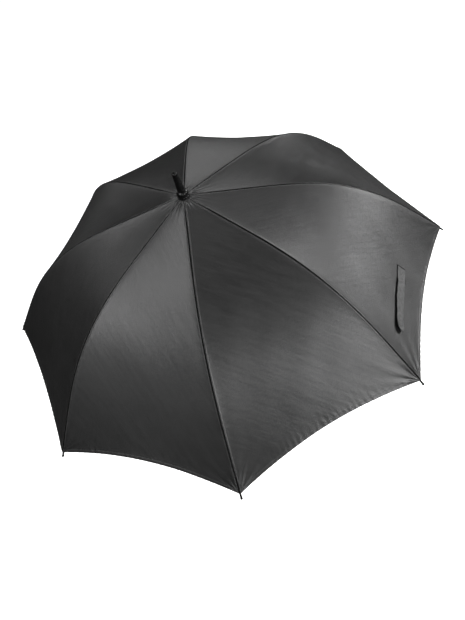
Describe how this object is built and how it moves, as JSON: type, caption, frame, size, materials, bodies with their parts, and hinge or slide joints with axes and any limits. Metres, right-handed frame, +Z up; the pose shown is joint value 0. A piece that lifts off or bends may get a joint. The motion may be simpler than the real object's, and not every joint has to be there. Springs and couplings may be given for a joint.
{
  "type": "golf umbrella",
  "caption": "Large straight-shaft umbrella with a black eight-panel cloth dome, bending ribs, stretchers on a sliding runner, sprung catches, tapered ferrule and straight foam grip.",
  "frame": {"origin": "on the shaft's axis at the middle of the hand grip", "axes": "+Z runs up the shaft to the ferrule; rib 1 points along +X and the ribs are numbered anticlockwise seen from above"},
  "size_m": [1.3014, 1.3014, 1.044],
  "materials": {
    "canopy_cloth": "satin polyester",
    "fibreglass": "smooth black rod",
    "black_plastic": "matte moulded",
    "black_steel": "black painted steel",
    "bright_steel": "plated steel",
    "grip_foam": "closed-cell foam"
  },
  "bodies": {
    "shaft": {"shaft_tube": "black_steel", "runner_stop_pin": "bright_steel", "crown": "black_plastic", "crown_wire_ring": "bright_steel", "ferrule_collar": "black_plastic", "ferrule_spike": "black_plastic", "grip_core": "black_plastic", "foam_grip": "grip_foam", "neck_collar": "black_plastic", "end_cap": "black_plastic"},
    "runner": {"runner": "black_plastic", "runner_wire_ring": "bright_steel"},
    "top_catch": {"top_catch": "bright_steel"},
    "bottom_catch": {"bottom_catch": "bright_steel"},
    "rib_1": {"inner_rib_1": "fibreglass", "canopy_panel_1": "canopy_cloth"},
    "outer_rib_1": {"outer_rib_1": "fibreglass", "rib_tip_1": "black_plastic"},
    "stretcher_1": {"stretcher_1": "black_steel"},
    "rib_2": {"inner_rib_2": "fibreglass", "canopy_panel_2": "canopy_cloth"},
    "outer_rib_2": {"outer_rib_2": "fibreglass", "rib_tip_2": "black_plastic"},
    "stretcher_2": {"stretcher_2": "black_steel"},
    "rib_3": {"inner_rib_3": "fibreglass", "canopy_panel_3": "canopy_cloth"},
    "outer_rib_3": {"outer_rib_3": "fibreglass", "rib_tip_3": "black_plastic"},
    "stretcher_3": {"stretcher_3": "black_steel"},
    "rib_4": {"inner_rib_4": "fibreglass", "canopy_panel_4": "canopy_cloth"},
    "outer_rib_4": {"outer_rib_4": "fibreglass", "rib_tip_4": "black_plastic"},
    "stretcher_4": {"stretcher_4": "black_steel"},
    "rib_5": {"inner_rib_5": "fibreglass", "canopy_panel_5": "canopy_cloth"},
    "outer_rib_5": {"outer_rib_5": "fibreglass", "rib_tip_5": "black_plastic"},
    "stretcher_5": {"stretcher_5": "black_steel"},
    "rib_6": {"inner_rib_6": "fibreglass", "canopy_panel_6": "canopy_cloth", "tie_strap": "canopy_cloth"},
    "outer_rib_6": {"outer_rib_6": "fibreglass", "rib_tip_6": "black_plastic"},
    "stretcher_6": {"stretcher_6": "black_steel"},
    "rib_7": {"inner_rib_7": "fibreglass", "canopy_panel_7": "canopy_cloth"},
    "outer_rib_7": {"outer_rib_7": "fibreglass", "rib_tip_7": "black_plastic"},
    "stretcher_7": {"stretcher_7": "black_steel"},
    "rib_8": {"inner_rib_8": "fibreglass", "canopy_panel_8": "canopy_cloth"},
    "outer_rib_8": {"outer_rib_8": "fibreglass", "rib_tip_8": "black_plastic"},
    "stretcher_8": {"stretcher_8": "black_steel"}
  },
  "joints": [
    {"name": "canopy_fold", "type": "hinge", "parent": "shaft", "child": "rib_1", "pos_m": [0.011, 0, 0.87], "axis": [0, 1, 0], "range_deg": [0, 74], "deforming": ["canopy_panel_1", "canopy_panel_2", "canopy_panel_3", "canopy_panel_4", "canopy_panel_5", "canopy_panel_6", "canopy_panel_7", "canopy_panel_8", "tie_strap"]},
    {"name": "rib_fold_2", "type": "hinge", "parent": "shaft", "child": "rib_2", "pos_m": [0.00778, 0.00778, 0.87], "axis": [-0.7071, 0.7071, 0], "range_deg": [0, 74]},
    {"name": "rib_fold_3", "type": "hinge", "parent": "shaft", "child": "rib_3", "pos_m": [0, 0.011, 0.87], "axis": [-1, 0, 0], "range_deg": [0, 74]},
    {"name": "rib_fold_4", "type": "hinge", "parent": "shaft", "child": "rib_4", "pos_m": [-0.00778, 0.00778, 0.87], "axis": [-0.7071, -0.7071, 0], "range_deg": [0, 74]},
    {"name": "rib_fold_5", "type": "hinge", "parent": "shaft", "child": "rib_5", "pos_m": [-0.011, 0, 0.87], "axis": [0, -1, 0], "range_deg": [0, 74]},
    {"name": "rib_fold_6", "type": "hinge", "parent": "shaft", "child": "rib_6", "pos_m": [-0.00778, -0.00778, 0.87], "axis": [0.7071, -0.7071, 0], "range_deg": [0, 74]},
    {"name": "rib_fold_7", "type": "hinge", "parent": "shaft", "child": "rib_7", "pos_m": [0, -0.011, 0.87], "axis": [1, 0, 0], "range_deg": [0, 74]},
    {"name": "rib_fold_8", "type": "hinge", "parent": "shaft", "child": "rib_8", "pos_m": [0.00778, -0.00778, 0.87], "axis": [0.7071, 0.7071, 0], "range_deg": [0, 74]},
    {"name": "rib_flex_1", "type": "hinge", "parent": "rib_1", "child": "outer_rib_1", "pos_m": [0.36796, 0, 0.78468], "axis": [0, 1, 0], "range_deg": [-27, 0]},
    {"name": "stretcher_turn_1", "type": "hinge", "parent": "rib_1", "child": "stretcher_1", "pos_m": [0.35783, 0, 0.78161], "axis": [0, 1, 0], "range_deg": [-148, 0]},
    {"name": "rib_flex_2", "type": "hinge", "parent": "rib_2", "child": "outer_rib_2", "pos_m": [0.26019, 0.26019, 0.78468], "axis": [-0.7071, 0.7071, 0], "range_deg": [-27, 0]},
    {"name": "stretcher_turn_2", "type": "hinge", "parent": "rib_2", "child": "stretcher_2", "pos_m": [0.25302, 0.25302, 0.78161], "axis": [-0.7071, 0.7071, 0], "range_deg": [-148, 0]},
    {"name": "rib_flex_3", "type": "hinge", "parent": "rib_3", "child": "outer_rib_3", "pos_m": [0, 0.36796, 0.78468], "axis": [-1, 0, 0], "range_deg": [-27, 0]},
    {"name": "stretcher_turn_3", "type": "hinge", "parent": "rib_3", "child": "stretcher_3", "pos_m": [0, 0.35783, 0.78161], "axis": [-1, 0, 0], "range_deg": [-148, 0]},
    {"name": "rib_flex_4", "type": "hinge", "parent": "rib_4", "child": "outer_rib_4", "pos_m": [-0.26019, 0.26019, 0.78468], "axis": [-0.7071, -0.7071, 0], "range_deg": [-27, 0]},
    {"name": "stretcher_turn_4", "type": "hinge", "parent": "rib_4", "child": "stretcher_4", "pos_m": [-0.25302, 0.25302, 0.78161], "axis": [-0.7071, -0.7071, 0], "range_deg": [-148, 0]},
    {"name": "rib_flex_5", "type": "hinge", "parent": "rib_5", "child": "outer_rib_5", "pos_m": [-0.36796, 0, 0.78468], "axis": [0, -1, 0], "range_deg": [-27, 0]},
    {"name": "stretcher_turn_5", "type": "hinge", "parent": "rib_5", "child": "stretcher_5", "pos_m": [-0.35783, 0, 0.78161], "axis": [0, -1, 0], "range_deg": [-148, 0]},
    {"name": "rib_flex_6", "type": "hinge", "parent": "rib_6", "child": "outer_rib_6", "pos_m": [-0.26019, -0.26019, 0.78468], "axis": [0.7071, -0.7071, 0], "range_deg": [-27, 0]},
    {"name": "stretcher_turn_6", "type": "hinge", "parent": "rib_6", "child": "stretcher_6", "pos_m": [-0.25302, -0.25302, 0.78161], "axis": [0.7071, -0.7071, 0], "range_deg": [-148, 0]},
    {"name": "rib_flex_7", "type": "hinge", "parent": "rib_7", "child": "outer_rib_7", "pos_m": [0, -0.36796, 0.78468], "axis": [1, 0, 0], "range_deg": [-27, 0]},
    {"name": "stretcher_turn_7", "type": "hinge", "parent": "rib_7", "child": "stretcher_7", "pos_m": [0, -0.35783, 0.78161], "axis": [1, 0, 0], "range_deg": [-148, 0]},
    {"name": "rib_flex_8", "type": "hinge", "parent": "rib_8", "child": "outer_rib_8", "pos_m": [0.26019, -0.26019, 0.78468], "axis": [0.7071, 0.7071, 0], "range_deg": [-27, 0]},
    {"name": "stretcher_turn_8", "type": "hinge", "parent": "rib_8", "child": "stretcher_8", "pos_m": [0.25302, -0.25302, 0.78161], "axis": [0.7071, 0.7071, 0], "range_deg": [-148, 0]},
    {"name": "runner_travel", "type": "hinge", "parent": "stretcher_1", "child": "runner", "pos_m": [0.011, 0, 0.69323], "axis": [0, 1, 0], "range_deg": [0, 74]},
    {"name": "top_catch_press", "type": "slide", "parent": "shaft", "child": "top_catch", "axis": [-0.9239, -0.3827, 0], "range_m": [0, 0.0032], "stiffness_N_per_m": 300, "springref_m": -0.002},
    {"name": "bottom_catch_press", "type": "slide", "parent": "shaft", "child": "bottom_catch", "axis": [-0.9239, -0.3827, 0], "range_m": [0, 0.0032], "stiffness_N_per_m": 300, "springref_m": -0.002}
  ],
  "couplings": [
    {"joint": "rib_fold_2", "follows": "canopy_fold", "ratio": 1},
    {"joint": "rib_fold_3", "follows": "canopy_fold", "ratio": 1},
    {"joint": "rib_fold_4", "follows": "canopy_fold", "ratio": 1},
    {"joint": "rib_fold_5", "follows": "canopy_fold", "ratio": 1},
    {"joint": "rib_fold_6", "follows": "canopy_fold", "ratio": 1},
    {"joint": "rib_fold_7", "follows": "canopy_fold", "ratio": 1},
    {"joint": "rib_fold_8", "follows": "canopy_fold", "ratio": 1},
    {"joint": "rib_flex_1", "follows": "canopy_fold", "ratio": -0.36486},
    {"joint": "stretcher_turn_1", "follows": "canopy_fold", "ratio": -2},
    {"joint": "rib_flex_2", "follows": "canopy_fold", "ratio": -0.36486},
    {"joint": "stretcher_turn_2", "follows": "canopy_fold", "ratio": -2},
    {"joint": "rib_flex_3", "follows": "canopy_fold", "ratio": -0.36486},
    {"joint": "stretcher_turn_3", "follows": "canopy_fold", "ratio": -2},
    {"joint": "rib_flex_4", "follows": "canopy_fold", "ratio": -0.36486},
    {"joint": "stretcher_turn_4", "follows": "canopy_fold", "ratio": -2},
    {"joint": "rib_flex_5", "follows": "canopy_fold", "ratio": -0.36486},
    {"joint": "stretcher_turn_5", "follows": "canopy_fold", "ratio": -2},
    {"joint": "rib_flex_6", "follows": "canopy_fold", "ratio": -0.36486},
    {"joint": "stretcher_turn_6", "follows": "canopy_fold", "ratio": -2},
    {"joint": "rib_flex_7", "follows": "canopy_fold", "ratio": -0.36486},
    {"joint": "stretcher_turn_7", "follows": "canopy_fold", "ratio": -2},
    {"joint": "rib_flex_8", "follows": "canopy_fold", "ratio": -0.36486},
    {"joint": "stretcher_turn_8", "follows": "canopy_fold", "ratio": -2},
    {"joint": "runner_travel", "follows": "canopy_fold", "ratio": 1}
  ]
}
